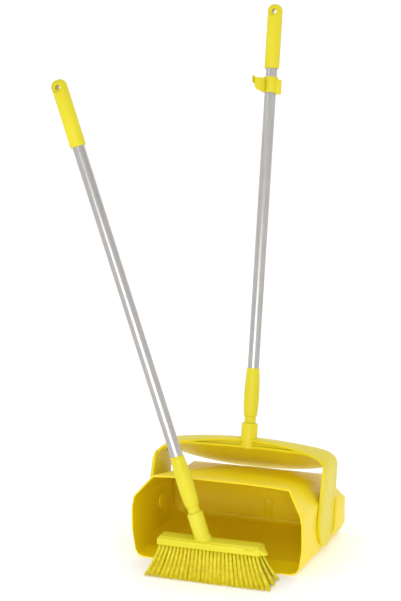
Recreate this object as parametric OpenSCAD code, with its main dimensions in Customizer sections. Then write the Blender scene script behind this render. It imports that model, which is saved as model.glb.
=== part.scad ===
// Long-handled dust pan with a hooded carrying yoke, and its matching brush.
// Origin: centre of the pan's flat base, on the floor. +Z up, the mouth faces -Y.

/* [Pan] */
// Half width of the mouth at floor level
mouth_half_w = 183; // [175:1:190]
// Height of the mouth's top edge at its corners
mouth_h = 173; // [165:1:178]
// Distance from the centre of the base to the mouth lip
front_y = 145; // [140:1:150]
// Height of the flat top at the back
rear_h = 129; // [124:1:130]
// Half width of the back
rear_half_w = 203; // [200:1:206]
// Wall thickness of the pan
wall = 3; // [2.5:0.5:3]
// Height of the crest of the lip ramp
ramp_h = 10; // [8:1:12]

/* [Yoke] */
// Position of the pivot behind the origin
pivot_y = 22; // [20:1:24]
// Height of the pivot
pivot_z = 72; // [70:1:74]
// Radius of the round lower end of each arm
arm_r = 60; // [56:1:60]
// Thickness of each arm
arm_t = 6.5; // [6:0.5:7]
// Outer radius of the socket collar
collar_r = 18; // [17:0.5:19]
// Radius of the pivot button's shaft
shaft_r = 9; // [8:0.5:10]

/* [Handles] */
// Backward lean of the pan's handle in degrees
lean = 11.8; // [10:0.1:12]
// Outer radius of the aluminium tubes
tube_r = 12.5; // [12:0.1:12.5]
// Wall thickness of the tubes
tube_t = 1.2; // [1:0.1:1.5]
// Length of tube showing between ferrule and grip
tube_show = 661; // [600:1:700]
// Length of each grip
grip_l = 142; // [130:1:150]
// Outer radius of each grip
grip_r = 16.5; // [16:0.1:17]
// Radius of the hang hole
hang_r = 6; // [5:0.5:6]

/* [Brush] */
// Half length of the brush block
block_half_l = 110; // [105:1:115]
// Depth of the brush block front to back
block_d = 36; // [34:1:40]
// Thickness of the brush block
block_h = 17; // [16:1:20]
// Trim length of the bristles
trim = 65.5; // [60:0.5:70]
// Sideways lean of the brush handle in degrees
brush_lean = 19.6; // [18:0.1:22]

/* [Hidden] */
$fn = 64;
e = 0.01;
arm_in = 189.5;
arm_out = arm_in + arm_t;
pocket_x = arm_in - 0.7;
back_y = 144;
bristle_z = 0.5;
block_z = bristle_z + trim;
bx = 12;             // centre of the brush block along X
by = -210;           // centre of the brush block along Y
tuft_rows = 5;
// stations along a handle, measured from the foot of its socket
s_collar = 31;
s_cone = s_collar + 15.6;
s_tube = s_cone + 106;
s_grip = s_tube + tube_show;
s_top = s_grip + grip_l;
s_hole = s_top - 16;

// ---------- pan ----------
// outline of the mouth as [half width, height], from the floor upwards; t insets it
function mouth_pts(t) = [
  [mouth_half_w - 20 - t, t], [mouth_half_w - 8 - t, 5 + t*0.7], [mouth_half_w - 2 - t, 15 + t*0.4],
  [mouth_half_w - t, 35], [mouth_half_w + 5 - t, 62], [mouth_half_w + 6.5 - t, 87], [mouth_half_w + 4.5 - t, 112],
  [mouth_half_w - t, 135 - t*0.4]];
// thin upright slice through a symmetric outline at station y
module slice(pts, y) {
  translate([0, y, 0]) rotate([90, 0, 0]) linear_extrude(0.2)
    polygon(concat(pts, [for (i = [len(pts)-1:-1:0]) [-pts[i][0], pts[i][1]]]));
}
module hood_top(t, y) { slice([[152 - t*0.8, mouth_h - t], [114 - t*0.6, mouth_h + 2.5 - t], [60, mouth_h + 4 - t]], y); }
// f carries the section forwards, so that the hollow is open through the raked mouth
module hood(t, y0, y1, f = 0) {
  hull() {
    slice(mouth_pts(t), y0 - f);
    hood_top(t, y0 + 33);
    if (f > 0) hood_top(t, y0 - f);
    if (f > 0) slice(mouth_pts(t), y0);
    slice([[rear_half_w - 25 - t, t], [rear_half_w - 7.5 - t, 7.5 + t*0.6], [rear_half_w - t, 25 + t*0.3],
           [rear_half_w - t, 83 - t*0.4], [150 - t*0.5, 118 - t], [110, 123 - t], [60, 127.2 - t], [20, rear_h + 0.7 - t]], y1);
  }
}
module rear_box(t, y0, y1) {
  hull() {
    slice([[rear_half_w - 9 - t, 40], [rear_half_w - 9 - t, 86 - t*0.4], [155 - t*0.5, rear_h - t], [60, rear_h - t]], y0 + t);
    slice([[rear_half_w - 3 - t, 40], [rear_half_w - 3 - t, 83 - t*0.4], [153 - t*0.5, rear_h - t], [60, rear_h - t]], y1);
  }
}
// side recess in which one arm lies; it runs out forwards to the mouth; g widens it
module arm_recess(g) {
  translate([pocket_x - g, 0, 0]) rotate([90, 0, 90]) linear_extrude(40) union() {
    translate([pivot_y, pivot_z]) circle(r = arm_r + 0.8 + g, $fn = 96);
    polygon([[-front_y - 60, -20], [-front_y - 60, 220], [104.5 + g, 220], [104.5 + g, 172], [100 + g, 145],
             [pivot_y + arm_r + 0.8 + g, pivot_z + 6], [pivot_y, pivot_z], [pivot_y, pivot_z - arm_r - 0.8 - g],
             [pivot_y - 20, -20]]);
  }
}
module both() { children(); mirror([1, 0, 0]) children(); }
module pan_body() {
  color([0.86, 0.80, 0.16]) difference() {
    union() { hood(0, -front_y, back_y - 1); rear_box(0, 75, back_y); }
    difference() {
      union() { hood(wall, -front_y, back_y - wall - 1, 30); rear_box(wall, 75, back_y - wall); }
      both() arm_recess(wall);
      // lip ramp
      rotate([90, 0, 90]) translate([0, 0, -220]) linear_extrude(440)
        polygon([[-front_y - 2, -1], [-front_y - 2, 1.2], [-front_y + 6, 2.4], [-front_y + 50, ramp_h], [-front_y + 55, wall], [-front_y + 55, -1]]);
    }
    both() arm_recess(0);
    // pivot holes
    translate([0, pivot_y, pivot_z]) rotate([0, 90, 0]) cylinder(r = shaft_r + 0.05, h = 460, center = true);
  }
}

// ---------- yoke ----------
module pivot_button() {
  color([0.80, 0.72, 0.12]) translate([0, pivot_y, pivot_z]) rotate([0, 90, 0]) {
    translate([0, 0, pocket_x - wall - 3.8]) cylinder(r = 19, h = 3.5);
    translate([0, 0, pocket_x - wall - 0.3]) cylinder(r = shaft_r, h = arm_in + 4 - (pocket_x - wall - 0.3));
  }
}
module pivot_button_left() { mirror([1, 0, 0]) pivot_button(); }
module pivot_button_right() { pivot_button(); }

bow_r = 373.7;      // plan radius of the beam's bowed front
bow_y = 64;         // front of the beam at the middle
beam_b = 196.6;     // underside of the beam at the middle
beam_t = 216.5;     // top of the beam at the middle
module arm() {
  translate([arm_in, 0, 0]) rotate([90, 0, 90]) linear_extrude(arm_t) union() {
    translate([pivot_y, pivot_z]) circle(r = arm_r, $fn = 96);
    polygon([[4, 194], [8, 206], [82, 206], [94, 194], [103, 172], [98, 145], [pivot_y + arm_r, pivot_z + 6],
             [pivot_y, pivot_z], [-36.9, 84], [-12, 150]]);
  }
}
// outline of the yoke's rounded shoulder as [x, z], outer side and inner side
shoulder_o = [[120, 210.1], [140, 207.8], [155, 205.9], [166, 203.9], [175, 201.2], [183, 197.2], [189, 191.8], [193.5, 184.5], [arm_out, 174], [arm_out, 160]];
shoulder_i = [[arm_in, 160], [arm_in, 174], [188.2, 182], [184.8, 188.2], [179.5, 193.2], [172.5, 196.8], [163, 199.3], [152, 201], [140, 202.2], [120, 200.9]];
module shoulder() {
  difference() {
    translate([0, 92, 0]) rotate([90, 0, 0]) linear_extrude(90) polygon(concat(shoulder_o, shoulder_i));
    bow(0);
    // rear edge, from the beam's back to the arm's
    linear_extrude(260) polygon([[118, 86], [165, 86], [arm_out + 1, 94], [arm_out + 1, 100], [118, 100]]);
  }
}
// everything below the yoke's top outline
module under_top() {
  o = shoulder_o;
  translate([0, 150, 0]) rotate([90, 0, 0]) linear_extrude(300)
    polygon(concat([[0, 0], [arm_out + 0.2, 0], [arm_out + 0.2, 160]], [for (i = [len(o)-2:-1:0]) [o[i][0], o[i][1]]], [[0, 210.1]]));
}
// region between the beam's upper and lower surfaces, grown inwards by i
module beam_band(i_low, i_high) {
  intersection() {
    translate([-150, -20, 150]) cube([300, 130, 90]);
    translate([0, 0, beam_t - 1133 - i_high]) rotate([-90, 0, 0]) translate([0, 0, -40]) cylinder(r = 1133, h = 200, $fn = 360);
    translate([0, 0, beam_b + 1648 + i_low]) rotate([-90, 0, 0]) translate([0, 0, -40]) cylinder(r = 1648, h = 200, $fn = 360);
  }
}
module bow(g) { translate([0, bow_y - bow_r, 150]) cylinder(r = bow_r + g, h = 100, $fn = 240); }
module beam() {
  difference() {
    beam_band(0, 0);
    bow(0);
    translate([-200, 86, 150]) cube([400, 60, 100]);
    // groove between the two flanges
    intersection() { bow(8); beam_band(5, 4.5); }
    // hollow underside
    difference() {
      beam_band(-20, 4);
      bow(12);
      translate([-200, 82, 150]) cube([400, 60, 100]);
      translate([-22, 0, 150]) cube([44, 100, 100]);
      for (s = [-1, 1]) for (x = [60, 110, 150]) translate([s*x - 1.25, 0, 150]) cube([2.5, 100, 100]);
    }
  }
}
module on_pan_handle() { translate([0, 82, 217]) rotate([-lean, 0, 0]) children(); }
module yoke() {
  color([0.86, 0.82, 0.22]) difference() {
    union() {
      both() intersection() { arm(); under_top(); }
      both() shoulder();
      beam();
      intersection() {
        on_pan_handle() union() {
          translate([0, 0, -24]) cylinder(r = collar_r, h = 24 + s_collar);
          translate([0, 0, -24]) cylinder(r1 = collar_r + 1.5, r2 = collar_r, h = 30);
        }
        translate([-50, 0, beam_b]) cube([100, 150, 100]);
      }
    }
    on_pan_handle() translate([0, 0, -8]) cylinder(r = 11, h = 80);
    translate([0, pivot_y, pivot_z]) rotate([0, 90, 0]) cylinder(r = shaft_r, h = 2*(arm_in + 4.2), center = true);
  }
}
// lid: a curved panel running down and back from the beam to an arched lower edge
function lid_y0(x) = bow_y - bow_r + sqrt(pow(bow_r + 10, 2) - x*x);
function lid_z0(x) = beam_b + 0.6 + min(x*x, 19600)/3296 - (abs(x) > 140 ? 21*pow((abs(x) - 140)/49, 2.2) : 0);
function lid_y1(x) = 155 - 15*pow(abs(x)/155, 2);
function lid_z1(x) = 126 + 18*pow(abs(x)/155, 2.2);
lid_n = 24;
lid_m = 6;
lid_w = arm_in - 0.5;
function lid_x(i) = -lid_w + 2*lid_w*i/lid_n;
// point (i, j) of the lid surface, offset outwards by g
function lid_pt(i, j, g) = let (x = lid_x(i), u = j/lid_m, a = lid_y0(x), b = lid_z0(x), c = lid_y1(x), d = lid_z1(x),
  l = sqrt((c-a)*(c-a) + (d-b)*(d-b)), ny = -(d-b)/l, nz = (c-a)/l, s = 9*u*(1-u) + g)
  [x, a + (c-a)*u + ny*s, b + (d-b)*u + nz*s];
module lid_panel() {
  n1 = (lid_n + 1)*(lid_m + 1);
  function id(i, j, k) = k*n1 + i*(lid_m + 1) + j;
  pts = [for (k = [0, 1]) for (i = [0:lid_n]) for (j = [0:lid_m]) lid_pt(i, j, 2.6*k)];
  color([0.86, 0.78, 0.10]) polyhedron(points = pts, convexity = 6, faces = concat(
    [for (i = [0:lid_n-1]) for (j = [0:lid_m-1]) each [[id(i,j,0), id(i+1,j,0), id(i+1,j+1,0)], [id(i,j,0), id(i+1,j+1,0), id(i,j+1,0)]]],
    [for (i = [0:lid_n-1]) for (j = [0:lid_m-1]) each [[id(i,j,1), id(i+1,j+1,1), id(i+1,j,1)], [id(i,j,1), id(i,j+1,1), id(i+1,j+1,1)]]],
    [for (i = [0:lid_n-1]) each [[id(i,0,0), id(i,0,1), id(i+1,0,1)], [id(i,0,0), id(i+1,0,1), id(i+1,0,0)]]],
    [for (i = [0:lid_n-1]) each [[id(i,lid_m,0), id(i+1,lid_m,1), id(i,lid_m,1)], [id(i,lid_m,0), id(i+1,lid_m,0), id(i+1,lid_m,1)]]],
    [for (j = [0:lid_m-1]) each [[id(0,j,0), id(0,j+1,1), id(0,j,1)], [id(0,j,0), id(0,j+1,0), id(0,j+1,1)]]],
    [for (j = [0:lid_m-1]) each [[id(lid_n,j,0), id(lid_n,j,1), id(lid_n,j+1,1)], [id(lid_n,j,0), id(lid_n,j+1,1), id(lid_n,j+1,0)]]]));
}

// ---------- handles ----------
module ferrule() {
  color([0.86, 0.82, 0.22]) rotate_extrude() polygon([
    [0, 4], [9.5, 4], [10.95, 5.5], [10.95, s_collar], [13, s_collar], [13, s_collar + 1], [12.5, s_collar + 2], [12.5, s_cone - 2], [14.2, s_cone],
    [15.4, s_cone + 8], [16.6, s_cone + 26], [17, s_cone + 44], [16.4, s_cone + 70], [15, s_cone + 92], [13.9, s_tube - 1], [13.4, s_tube],
    [tube_r + 0.05, s_tube], [tube_r + 0.05, s_cone + 8], [0, s_cone + 8]]);
}
module tube() {
  color([0.78, 0.78, 0.80]) difference() {
    translate([0, 0, s_cone + 8.2]) cylinder(r = tube_r, h = s_hole - 16 - s_cone - 8.2);
    translate([0, 0, s_cone]) cylinder(r = tube_r - tube_t, h = s_top);
  }
}
module grip() {
  color([0.88, 0.84, 0.20]) difference() {
    rotate_extrude() polygon(concat(
      [[0, s_hole - 15.8], [tube_r + 0.05, s_hole - 15.8], [tube_r + 0.05, s_grip], [grip_r - 1.5, s_grip], [grip_r - 0.4, s_grip + 0.7],
       [grip_r, s_grip + 2.2], [grip_r, s_top - 14]],
      [for (a = [9:9:81]) [grip_r - 14 + 14*cos(a), s_top - 14 + 14*sin(a)]], [[grip_r - 14, s_top], [0, s_top]]));
    translate([0, 0, s_hole]) rotate([90, 0, 0]) cylinder(r = hang_r, h = 60, center = true);
    for (s = [0, 1]) mirror([0, s, 0]) translate([0, 10, s_hole]) rotate([-90, 0, 0]) cylinder(r = 11, h = 20);
  }
}
module pan_ferrule() { on_pan_handle() ferrule(); }
module pan_tube() { on_pan_handle() tube(); }
module pan_grip() { on_pan_handle() grip(); }
module handle_clip() {
  z0 = s_grip - 53;
  color([0.88, 0.82, 0.12]) on_pan_handle() translate([0, 0, z0]) difference() {
    union() {
      cylinder(r = 16, h = 34);
      // jaw that snaps round the brush handle
      intersection() {
        translate([-23, -18, 0]) cylinder(r = 15.4, h = 40);
        translate([0, 40, 0]) rotate([90, 0, 0]) linear_extrude(100)
          polygon([[-44, 37], [-36, 36], [-31, 31.5], [-24, 29.6], [-10, 29], [10, 29], [10, 1], [-20, 1], [-30, 13], [-44, 30]]);
      }
      translate([-18, -14, 4]) cube([12, 10, 24]);
      // thumb pad
      translate([11, -7, -3]) cube([12.5, 12, 31]);
    }
    translate([0, 0, -10]) cylinder(r = tube_r + 0.08, h = 80);
    translate([-23, -18, -10]) cylinder(r = 12.3, h = 80);
    translate([-23, -18, -10]) rotate([0, 0, 218]) linear_extrude(80) polygon([[0, 0], [30, -22], [30, 22]]);
  }
}

// ---------- brush ----------
module on_brush_handle() { translate([bx - 16, by, block_z + block_h]) rotate([-3.44, -brush_lean, 0]) translate([0, 0, 25]) children(); }
module block_plan(g) {
  polygon([[bx - block_half_l + g, by - block_d/2 + g], [bx + block_half_l - g, by - block_d/2 + g],
           [bx + block_half_l - g, by + block_d/2 - g], [bx - block_half_l + g, by + block_d/2 - g]]);
}
module brush_block() {
  color([0.87, 0.82, 0.25]) difference() {
    union() {
      translate([0, 0, block_z]) linear_extrude(block_h - 3) block_plan(0);
      translate([0, 0, block_z + block_h - 3 - e]) linear_extrude(3 + e) block_plan(3);
      // pointed nose for corners
      hull() {
        translate([bx + block_half_l - 4, by - 15, block_z + 1]) cube([3, 30, 11.5]);
        translate([bx + block_half_l + 12, by - 9, block_z + 1]) cube([1.5, 5, 2.5]);
      }
      hull() {
        on_brush_handle() translate([0, 0, -20]) cylinder(r = 17.2, h = 1);
        translate([bx - 14, by, block_z + block_h - 6]) scale([1.5, 1, 1]) cylinder(r = 14, h = 2);
      }
      on_brush_handle() translate([0, 0, -19.6]) cylinder(r = 16.5, h = 19.6 + s_collar);
    }
    on_brush_handle() translate([0, 0, 0]) cylinder(r = 11, h = 80);
    // slot in the block's front edge near the pointed end
    translate([bx + 78, by - block_d/2 - 1, block_z + block_h - 7]) cube([20, 3, 1.6]);
  }
}
// one flared row of bristles: r counts from the front
module bristle_row(r) {
  y0 = by - 14 + 7*(r - 1);
  y1 = by - 30 + 15*(r - 1);
  color([0.86, 0.80, 0.14]) hull() {
    translate([bx - block_half_l + 5, y0 - 2.4, block_z - 0.5]) cube([2*block_half_l - 10, 4.8, 0.5]);
    translate([bx - 135, y1 - 6.5, bristle_z]) cube([273, 13, 1]);
  }
}
module bristle_row_1() { bristle_row(1); }
module bristle_row_2() { bristle_row(2); }
module bristle_row_3() { bristle_row(3); }
module bristle_row_4() { bristle_row(4); }
module bristle_row_5() { bristle_row(5); }
module brush_ferrule() { on_brush_handle() ferrule(); }
module brush_tube() { on_brush_handle() tube(); }
module brush_grip() { on_brush_handle() grip(); }

pan_body();
pivot_button_left();
pivot_button_right();
yoke();
lid_panel();
pan_ferrule();
pan_tube();
pan_grip();
handle_clip();
brush_block();
bristle_row_1();
bristle_row_2();
bristle_row_3();
bristle_row_4();
bristle_row_5();
brush_ferrule();
brush_tube();
brush_grip();
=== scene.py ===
import bpy, bmesh, math, random
import numpy as np
from mathutils import Vector, Matrix


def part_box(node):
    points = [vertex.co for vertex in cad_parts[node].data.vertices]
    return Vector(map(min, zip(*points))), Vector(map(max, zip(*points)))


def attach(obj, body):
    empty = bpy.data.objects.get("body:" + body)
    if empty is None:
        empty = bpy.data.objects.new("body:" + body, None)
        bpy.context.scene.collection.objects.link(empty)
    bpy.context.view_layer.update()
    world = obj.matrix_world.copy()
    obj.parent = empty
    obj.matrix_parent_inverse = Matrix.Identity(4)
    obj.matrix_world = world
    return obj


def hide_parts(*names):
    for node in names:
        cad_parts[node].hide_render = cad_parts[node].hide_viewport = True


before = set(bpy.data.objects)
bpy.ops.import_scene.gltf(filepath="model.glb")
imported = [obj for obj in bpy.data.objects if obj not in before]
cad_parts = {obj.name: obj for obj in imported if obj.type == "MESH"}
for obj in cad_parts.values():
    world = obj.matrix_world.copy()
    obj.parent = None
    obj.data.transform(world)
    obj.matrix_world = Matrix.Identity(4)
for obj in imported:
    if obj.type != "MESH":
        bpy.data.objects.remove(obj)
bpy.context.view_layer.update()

rnd = random.Random(7)
scene = bpy.context.scene
scene.view_settings.view_transform = 'Standard'


# ------------------------------------------------------------------ camera
def camera():
    az, pt, roll = math.radians(20.0), math.radians(11.175), math.radians(-0.486)
    fw = Vector((-math.sin(az) * math.cos(pt), math.cos(az) * math.cos(pt), -math.sin(pt)))
    rt = Vector((math.cos(az), math.sin(az), 0.0))
    up = rt.cross(fw)
    rt2 = rt * math.cos(roll) + up * math.sin(roll)
    up2 = -rt * math.sin(roll) + up * math.cos(roll)
    cam = bpy.data.cameras.new("camera")
    ob = bpy.data.objects.new("camera", cam)
    scene.collection.objects.link(ob)
    m = Matrix(((rt2.x, up2.x, -fw.x, 0.9739), (rt2.y, up2.y, -fw.y, -2.8995), (rt2.z, up2.z, -fw.z, 1.1441), (0, 0, 0, 1)))
    ob.matrix_world = m
    cam.sensor_width = 36.0
    cam.sensor_fit = 'AUTO'
    cam.lens = 1475.7 * 36.0 / 601.0
    cam.clip_start = 0.05
    cam.clip_end = 50
    scene.camera = ob


camera()


# ------------------------------------------------------------------ materials
def base(name):
    m = bpy.data.materials.new(name)
    m.use_nodes = True
    nt = m.node_tree
    bsdf = nt.nodes["Principled BSDF"]
    tc = nt.nodes.new("ShaderNodeTexCoord")
    return m, nt, bsdf, tc


def noise(nt, vec, scale, detail=4.0, rough=0.5):
    n = nt.nodes.new("ShaderNodeTexNoise")
    n.inputs["Scale"].default_value = scale
    n.inputs["Detail"].default_value = detail
    n.inputs["Roughness"].default_value = rough
    nt.links.new(vec, n.inputs["Vector"])
    return n


def ramp(nt, fac, lo, hi, p0=0.3, p1=0.7):
    r = nt.nodes.new("ShaderNodeValToRGB")
    r.color_ramp.elements[0].position = p0
    r.color_ramp.elements[1].position = p1
    r.color_ramp.elements[0].color = (*lo, 1)
    r.color_ramp.elements[1].color = (*hi, 1)
    nt.links.new(fac, r.inputs["Fac"])
    return r


def plastic(name, col, col2, rough=0.38, grain=0.010, sss=0.10, grain_scale=2600.0, scuff=0.10):
    """Satin moulded polypropylene: soft mottling, fine grain, faint lighter handling scuffs where a stretched noise
    peaks, spread over the whole surface.
    """
    m, nt, b, tc = base(name)
    obj = tc.outputs["Object"]
    big = noise(nt, obj, 9.0, 3.0)
    c = ramp(nt, big.outputs["Fac"], col, col2, 0.35, 0.65)
    # fine scuffs: stretched noise, only its peaks show
    mp = nt.nodes.new("ShaderNodeMapping")
    mp.inputs["Scale"].default_value = (1.0, 6.0, 14.0)
    mp.inputs["Rotation"].default_value = (0.4, 0.2, 0.7)
    nt.links.new(obj, mp.inputs["Vector"])
    sc = noise(nt, mp.outputs["Vector"], 38.0, 5.0, 0.6)
    scr = nt.nodes.new("ShaderNodeMapRange")
    scr.inputs["From Min"].default_value = 0.60
    scr.inputs["From Max"].default_value = 0.78
    scr.inputs["To Min"].default_value = 0.0
    scr.inputs["To Max"].default_value = scuff
    nt.links.new(sc.outputs["Fac"], scr.inputs["Value"])
    mix = nt.nodes.new("ShaderNodeMix")
    mix.data_type = 'RGBA'
    mix.inputs["B"].default_value = (min(1, col2[0] * 1.10), min(1, col2[1] * 1.12), min(1, col2[2] + 0.05), 1)
    nt.links.new(scr.outputs["Result"], mix.inputs["Factor"])
    nt.links.new(c.outputs["Color"], mix.inputs["A"])
    nt.links.new(mix.outputs["Result"], b.inputs["Base Color"])
    rr = nt.nodes.new("ShaderNodeMapRange")
    rr.inputs["To Min"].default_value = rough - 0.07
    rr.inputs["To Max"].default_value = rough + 0.10
    mid = noise(nt, obj, 55.0, 5.0, 0.6)
    nt.links.new(mid.outputs["Fac"], rr.inputs["Value"])
    nt.links.new(rr.outputs["Result"], b.inputs["Roughness"])
    fine = noise(nt, obj, grain_scale, 2.0)
    wave = noise(nt, obj, 26.0, 2.0)
    add = nt.nodes.new("ShaderNodeMath")
    add.operation = 'MULTIPLY_ADD'
    add.inputs[1].default_value = 3.0
    nt.links.new(wave.outputs["Fac"], add.inputs[0])
    nt.links.new(fine.outputs["Fac"], add.inputs[2])
    bp = nt.nodes.new("ShaderNodeBump")
    bp.inputs["Strength"].default_value = 0.12
    bp.inputs["Distance"].default_value = grain * 0.01
    nt.links.new(add.outputs["Value"], bp.inputs["Height"])
    nt.links.new(bp.outputs["Normal"], b.inputs["Normal"])
    b.inputs["IOR"].default_value = 1.49
    b.inputs["Subsurface Weight"].default_value = sss
    b.inputs["Subsurface Radius"].default_value = (1.0, 0.75, 0.15)
    b.inputs["Subsurface Scale"].default_value = 0.004
    b.inputs["Specular IOR Level"].default_value = 0.38
    b.inputs["Coat Weight"].default_value = 0.05
    b.inputs["Coat Roughness"].default_value = 0.30
    return m


def metal(name, rot):
    """Drawn, anodised tube: streaks along its length, slight tone bands."""
    m, nt, b, tc = base(name)
    mp = nt.nodes.new("ShaderNodeMapping")
    mp.vector_type = 'TEXTURE'
    mp.inputs["Rotation"].default_value = rot
    nt.links.new(tc.outputs["Object"], mp.inputs["Vector"])
    m2 = nt.nodes.new("ShaderNodeMapping")
    m2.inputs["Scale"].default_value = (1.0, 1.0, 0.012)
    nt.links.new(mp.outputs["Vector"], m2.inputs["Vector"])
    st = noise(nt, m2.outputs["Vector"], 1500.0, 4.0, 0.6)
    big = noise(nt, mp.outputs["Vector"], 14.0, 3.0)
    c = ramp(nt, st.outputs["Fac"], (0.40, 0.385, 0.37), (0.52, 0.505, 0.49), 0.25, 0.75)
    mixc = nt.nodes.new("ShaderNodeMix")
    mixc.data_type = 'RGBA'
    mixc.blend_type = 'MULTIPLY'
    mixc.inputs["Factor"].default_value = 0.5
    c2 = ramp(nt, big.outputs["Fac"], (0.88, 0.88, 0.88), (1.0, 1.0, 1.0), 0.3, 0.7)
    nt.links.new(c.outputs["Color"], mixc.inputs["A"])
    nt.links.new(c2.outputs["Color"], mixc.inputs["B"])
    nt.links.new(mixc.outputs["Result"], b.inputs["Base Color"])
    b.inputs["Metallic"].default_value = 1.0
    rr = nt.nodes.new("ShaderNodeMapRange")
    rr.inputs["To Min"].default_value = 0.20
    rr.inputs["To Max"].default_value = 0.36
    nt.links.new(st.outputs["Fac"], rr.inputs["Value"])
    nt.links.new(rr.outputs["Result"], b.inputs["Roughness"])
    bp = nt.nodes.new("ShaderNodeBump")
    bp.inputs["Strength"].default_value = 0.08
    bp.inputs["Distance"].default_value = 0.0002
    nt.links.new(st.outputs["Fac"], bp.inputs["Height"])
    nt.links.new(bp.outputs["Normal"], b.inputs["Normal"])
    return m


def fibre(name):
    """Extruded polyester filament: glossy sides, colour drifting from tuft to tuft."""
    m, nt, b, tc = base(name)
    obj = tc.outputs["Object"]
    n1 = noise(nt, obj, 120.0, 2.0)
    c = ramp(nt, n1.outputs["Fac"], (0.80, 0.64, 0.004), (0.92, 0.80, 0.012), 0.35, 0.65)
    mp = nt.nodes.new("ShaderNodeMapping")
    mp.inputs["Scale"].default_value = (1.0, 1.0, 0.05)
    nt.links.new(obj, mp.inputs["Vector"])
    n2 = noise(nt, mp.outputs["Vector"], 900.0, 3.0)
    mx = nt.nodes.new("ShaderNodeMix")
    mx.data_type = 'RGBA'
    mx.blend_type = 'MULTIPLY'
    mx.inputs["Factor"].default_value = 0.5
    c2 = ramp(nt, n2.outputs["Fac"], (0.86, 0.84, 0.74), (1, 1, 1), 0.3, 0.7)
    nt.links.new(c.outputs["Color"], mx.inputs["A"])
    nt.links.new(c2.outputs["Color"], mx.inputs["B"])
    nt.links.new(mx.outputs["Result"], b.inputs["Base Color"])
    rr = nt.nodes.new("ShaderNodeMapRange")
    rr.inputs["To Min"].default_value = 0.30
    rr.inputs["To Max"].default_value = 0.46
    nt.links.new(n2.outputs["Fac"], rr.inputs["Value"])
    nt.links.new(rr.outputs["Result"], b.inputs["Roughness"])
    b.inputs["IOR"].default_value = 1.5
    b.inputs["Subsurface Weight"].default_value = 0.15
    b.inputs["Subsurface Radius"].default_value = (1.0, 0.8, 0.2)
    b.inputs["Subsurface Scale"].default_value = 0.002
    return m


M_pan = plastic("pan_plastic", (0.86, 0.655, 0.002), (0.90, 0.70, 0.003), 0.36)
M_yoke = plastic("yoke_plastic", (0.73, 0.61, 0.006), (0.78, 0.66, 0.009), 0.40)
M_lid = plastic("lid_plastic", (0.88, 0.74, 0.002), (0.92, 0.79, 0.003), 0.36)
M_handle = plastic("handle_plastic", (0.66, 0.57, 0.008), (0.71, 0.62, 0.012), 0.42, grain=0.016, grain_scale=1800.0)
M_block = plastic("block_plastic", (0.66, 0.59, 0.014), (0.71, 0.635, 0.020), 0.42)
M_fibre = fibre("bristle_fibre")
LEAN = math.radians(11.8)
M_tube_pan = metal("pan_tube_metal", (-LEAN, 0, 0))
M_tube_brush = metal("brush_tube_metal", (math.radians(-3.44), math.radians(-19.6), 0))


# ------------------------------------------------------------------ helpers
def soft_copy(node, width, seg=3, angle=28.0, smooth=35.0):
    """A piece with the node's own shape, its hard moulded edges rounded."""
    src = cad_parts[node]
    me = src.data.copy()
    me.name = node + "_soft"
    ob = bpy.data.objects.new(node + "_piece", me)
    scene.collection.objects.link(ob)
    bm = bmesh.new()
    bm.from_mesh(me)
    bmesh.ops.remove_doubles(bm, verts=bm.verts, dist=2e-6)
    bmesh.ops.dissolve_degenerate(bm, dist=1e-6, edges=bm.edges)
    bmesh.ops.dissolve_limit(bm, angle_limit=math.radians(1.0), verts=bm.verts, edges=bm.edges)
    bmesh.ops.recalc_face_normals(bm, faces=bm.faces)
    bm.to_mesh(me)
    bm.free()
    bv = ob.modifiers.new("bevel", 'BEVEL')
    bv.width = width
    bv.segments = seg
    bv.limit_method = 'ANGLE'
    bv.angle_limit = math.radians(angle)
    bv.use_clamp_overlap = True
    bv.miter_outer = 'MITER_ARC'
    bv.harden_normals = False
    bpy.context.view_layer.update()
    dg = bpy.context.evaluated_depsgraph_get()
    new = bpy.data.meshes.new_from_object(ob.evaluated_get(dg))
    ob.modifiers.clear()
    ob.data = new
    finish_mesh(ob, smooth)
    return ob


def finish_mesh(ob, smooth=35.0):
    ob.data.shade_smooth()
    ob.data.materials.clear()
    bm = bmesh.new()
    bm.from_mesh(ob.data)
    lim = math.radians(smooth)
    for ed in bm.edges:
        if len(ed.link_faces) == 2:
            ed.smooth = ed.calc_face_angle(0.0) < lim
        else:
            ed.smooth = False
    bm.to_mesh(ob.data)
    bm.free()


def put(ob, body, slot, mat, *nodes):
    ob.data.materials.clear()
    ob.data.materials.append(mat)
    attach(ob, body)
    if nodes:
        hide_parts(*nodes)


def mesh_object(name, verts, faces):
    me = bpy.data.meshes.new(name)
    me.from_pydata(verts, [], faces)
    me.validate()
    ob = bpy.data.objects.new(name, me)
    scene.collection.objects.link(ob)
    return ob


def assign(node, mat):
    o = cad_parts[node]
    o.data.materials.clear() if False else None
    for s in o.material_slots:
        s.material = mat
    if not o.material_slots:
        o.data.materials.append(mat)


# ------------------------------------------------------------------ pan and yoke
put(soft_copy("pan_body", 0.0016, 3), "pan", "pan_plastic", M_pan, "pan_body")
put(soft_copy("yoke", 0.0012, 3), "yoke", "yoke_plastic", M_yoke, "yoke")
put(soft_copy("lid_panel", 0.0008, 2, 40.0), "yoke", "lid_plastic", M_lid, "lid_panel")
for side in ("left", "right"):
    put(soft_copy("pivot_button_" + side, 0.0010, 3), "yoke", "pan_plastic", M_pan, "pivot_button_" + side)
put(soft_copy("pan_ferrule", 0.0006, 2), "yoke", "handle_plastic", M_handle, "pan_ferrule")
put(soft_copy("pan_grip", 0.0008, 3), "yoke", "handle_plastic", M_handle, "pan_grip")
put(soft_copy("handle_clip", 0.0008, 3), "clip", "handle_plastic", M_handle, "handle_clip")
put(soft_copy("brush_ferrule", 0.0006, 2), "brush", "handle_plastic", M_handle, "brush_ferrule")
put(soft_copy("brush_grip", 0.0008, 3), "brush", "handle_plastic", M_handle, "brush_grip")
put(soft_copy("brush_block", 0.0012, 3), "brush", "block_plastic", M_block, "brush_block")
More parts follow.
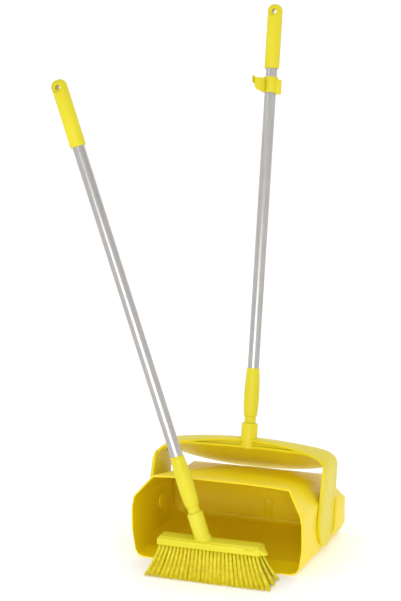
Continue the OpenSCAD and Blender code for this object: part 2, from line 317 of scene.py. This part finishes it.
assign("pan_tube", M_tube_pan)
assign("brush_tube", M_tube_brush)


def sweep_strip(name, rows, close=False):
    """Surface through rows of points."""
    verts, faces = [], []
    n = len(rows[0])
    for r in rows:
        verts += [tuple(p) for p in r]
    for i in range(len(rows) - 1):
        for j in range(n - (0 if close else 1)):
            a = i * n + j
            b = i * n + (j + 1) % n
            faces.append((a, b, b + n, a + n))
    if close:
        faces.append(tuple(range(n - 1, -1, -1)))
        faces.append(tuple((len(rows) - 1) * n + j for j in range(n)))
    return mesh_object(name, verts, faces)


def pan_details():
    # concave fillet where the back wall rises from the floor
    rows = []
    for i in range(61):
        x = -0.1760 + 0.3520 * i / 60
        row = []
        for j in range(9):
            a = math.pi / 2 * j / 8
            row.append((x, 0.1290 + 0.0112 * math.sin(a), 0.0142 - 0.0112 * math.cos(a)))
        row += [(x, 0.1412, 0.0142), (x, 0.1412, 0.0022), (x, 0.1290, 0.0022)]
        rows.append(row)
    ob = sweep_strip("back_fillet", rows, True)
    finish_mesh(ob, 40)
    put(ob, "pan", "pan_plastic", M_pan)
    # crease bead above it, in two lengths either side of the rib
    for nm, xa, xb in (("ledge_a", -0.095, 0.0150), ("ledge_b", 0.0370, 0.1660)):
        rows = []
        for i in range(41):
            t = i / 40
            x = xa + (xb - xa) * t
            g = min(1.0, 8 * t + 0.05, 8 * (1 - t) + 0.05)
            rows.append([(x, 0.1408 - 0.0022 * g * math.sin(math.pi * j / 8), 0.0150 + 0.0022 * g * -math.cos(math.pi * j / 8)) for j in range(9)] + [(x, 0.1414, 0.0150)])
        ob = sweep_strip(nm, rows, True)
        finish_mesh(ob, 50)
        put(ob, "pan", "pan_plastic", M_pan)
    # upright rounded rib on the back wall
    out = []
    for i in range(25):
        a = math.pi * i / 24
        out.append((0.0260 + 0.0098 * math.cos(a), 0.0520 + 0.0098 * math.sin(a)))
    out += [(0.0162, 0.0120), (0.0358, 0.0120)]
    cx = sum(p[0] for p in out) / len(out)
    cz = sum(p[1] for p in out) / len(out)
    rows = []
    for (sc, y) in ((1.0, 0.1414), (1.0, 0.1402), (0.97, 0.1394), (0.90, 0.1390)):
        rows.append([(0.0260 + (p[0] - 0.0260) * sc, y, 0.0330 + (p[1] - 0.0330) * (1 - (1 - sc) * 0.45)) for p in out])
    ob = sweep_strip("back_rib", rows, True)
    finish_mesh(ob, 60)
    put(ob, "pan", "pan_plastic", M_pan)


pan_details()


# ------------------------------------------------------------------ bristles
def bristles():
    rows = 5
    cols = 27
    boxes = [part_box("bristle_row_%d" % r) for r in range(1, rows + 1)]
    for r in range(rows):
        lo, hi = boxes[r]
        z0, z1 = lo[2], hi[2]
        verts, faces = [], []
        bx = 0.012
        y_mid = -0.210
        NF = 26
        ytop = y_mid - 0.014 + 0.007 * r
        ybot = y_mid - 0.030 + 0.015 * r
        stag = 0.5 if r % 2 else 0.0
        n_c = cols - (1 if r % 2 else 0)
        for c in range(n_c):
            u = (c + stag) / (cols - 1)
            fl = (u - 0.5) * 2
            xt = bx + 0.1035 * fl
            xb = bx + 0.0015 + 0.1330 * (abs(fl) ** 1.10) * (1 if fl > 0 else -1)
            # tapered core that keeps each tuft from being see-through
            cb = len(verts)
            for (cz, cx, cy, rx, ry) in ((z1, xt, ytop, 0.0022, 0.0021), ((z0 + z1) * 0.5, xt + (xb - xt) * 0.42, ytop + (ybot - ytop) * 0.42, 0.0029, 0.0030),
                                         (z0 + 0.0040, xb - (xb - xt) * 0.06, ybot - (ybot - ytop) * 0.06, 0.0040, 0.0044)):
                for j in range(8):
                    an = j * math.pi / 4
                    verts.append((cx + rx * math.cos(an), cy + ry * math.sin(an), cz))
            for s in range(2):
                for j in range(8):
                    a0 = cb + s * 8 + j
                    a1 = cb + s * 8 + (j + 1) % 8
                    faces.append((a0, a0 + 8, a1 + 8, a1))
            faces.append(tuple(cb + j for j in range(8)))
            faces.append(tuple(cb + 16 + j for j in range(7, -1, -1)))
            for k in range(NF):
                a = 2.399963 * k
                q = math.sqrt((k + 0.5) / NF)
                jx, jy = rnd.uniform(-1, 1), rnd.uniform(-1, 1)
                tx = xt + 0.0027 * q * math.cos(a)
                ty = ytop + 0.0024 * q * math.sin(a)
                bx_ = xb + 0.0051 * q * math.cos(a) + 0.0008 * jx
                by_ = ybot + 0.0064 * q * math.sin(a) + 0.0009 * jy
                zb = z0 + 0.0002 + abs(rnd.gauss(0, 0.0006)) + 0.0010 * abs(fl) ** 6
                bx_ = min(max(bx_, lo[0] + 0.0012), hi[0] - 0.0012)
                by_ = min(max(by_, lo[1] + 0.0008 - 0.0), hi[1] - 0.0008)
                rad = 0.00056
                base_i = len(verts)
                nseg = 5
                for s in range(nseg + 1):
                    t = s / nseg
                    e1 = t ** 1.25
                    px = tx + (bx_ - tx) * e1
                    py = ty + (by_ - ty) * e1
                    pz = z1 + (zb - z1) * t
                    for j in range(4):
                        an = math.pi / 4 + j * math.pi / 2 + k
                        verts.append((px + rad * math.cos(an), py + rad * math.sin(an), pz))
                for s in range(nseg):
                    for j in range(4):
                        a0 = base_i + s * 4 + j
                        a1 = base_i + s * 4 + (j + 1) % 4
                        faces.append((a0, a0 + 4, a1 + 4, a1))
                faces.append(tuple(base_i + j for j in range(4)))
                faces.append(tuple(base_i + nseg * 4 + j for j in (3, 2, 1, 0)))
        ob = mesh_object("bristles_%d" % (r + 1), verts, faces)
        ob.data.shade_smooth()
        put(ob, "brush", "bristle_fibre", M_fibre, "bristle_row_%d" % (r + 1))


bristles()


# ------------------------------------------------------------------ studio
def studio():
    me = bpy.data.meshes.new("floor")
    # a wide round floor whose far rim sweeps up
    n = 96
    prof = [(6.0, 0.0), (26.0, 0.0)]
    for i in range(1, 13):
        a = math.pi / 2 * i / 12
        prof.append((26.0 + 4.0 * math.sin(a), 4.0 - 4.0 * math.cos(a)))
    prof.append((30.0, 12.0))
    vs, fs = [], []
    for r, z in prof:
        vs += [(r * math.cos(2 * math.pi * k / n), r * math.sin(2 * math.pi * k / n), z) for k in range(n)]
    fs.append(tuple(range(n)))
    for i in range(len(prof) - 1):
        for k in range(n):
            fs.append((i * n + k, (i + 1) * n + k, (i + 1) * n + (k + 1) % n, i * n + (k + 1) % n))
    me.from_pydata(vs, [], fs)
    me.shade_smooth()
    fl = bpy.data.objects.new("floor", me)
    scene.collection.objects.link(fl)
    m = bpy.data.materials.new("floor")
    m.use_nodes = True
    b = m.node_tree.nodes["Principled BSDF"]
    b.inputs["Base Color"].default_value = (0.93, 0.93, 0.925, 1)
    b.inputs["Roughness"].default_value = 0.55
    b.inputs["Emission Color"].default_value = (1, 1, 1, 1)
    b.inputs["Emission Strength"].default_value = 0.22
    me.materials.append(m)

    def area(name, loc, target, size, power, col=(1, 1, 1)):
        li = bpy.data.lights.new(name, 'AREA')
        li.shape = 'RECTANGLE'
        li.size, li.size_y = size
        li.energy = power
        li.color = col
        ob = bpy.data.objects.new(name, li)
        scene.collection.objects.link(ob)
        ob.location = loc
        ob.rotation_euler = (Vector(target) - Vector(loc)).to_track_quat('-Z', 'Y').to_euler()

    area("key", (-1.9, -2.2, 2.8), (0, 0, 0.4), (1.5, 1.9), 10)
    area("fill", (2.8, -1.6, 1.6), (0, 0, 0.4), (1.8, 2.4), 1)
    area("front", (0.55, -2.9, 0.62), (0.0, 0.1, 0.10), (1.7, 0.9), 23)
    area("back", (0.6, 2.4, 2.8), (0, 0, 0.4), (2.8, 1.6), 12)
    w = bpy.data.worlds.new("world")
    scene.world = w
    w.use_nodes = True
    bg = w.node_tree.nodes["Background"]
    bg.inputs["Color"].default_value = (1, 1, 1, 1)
    bg.inputs["Strength"].default_value = 0.80


studio()
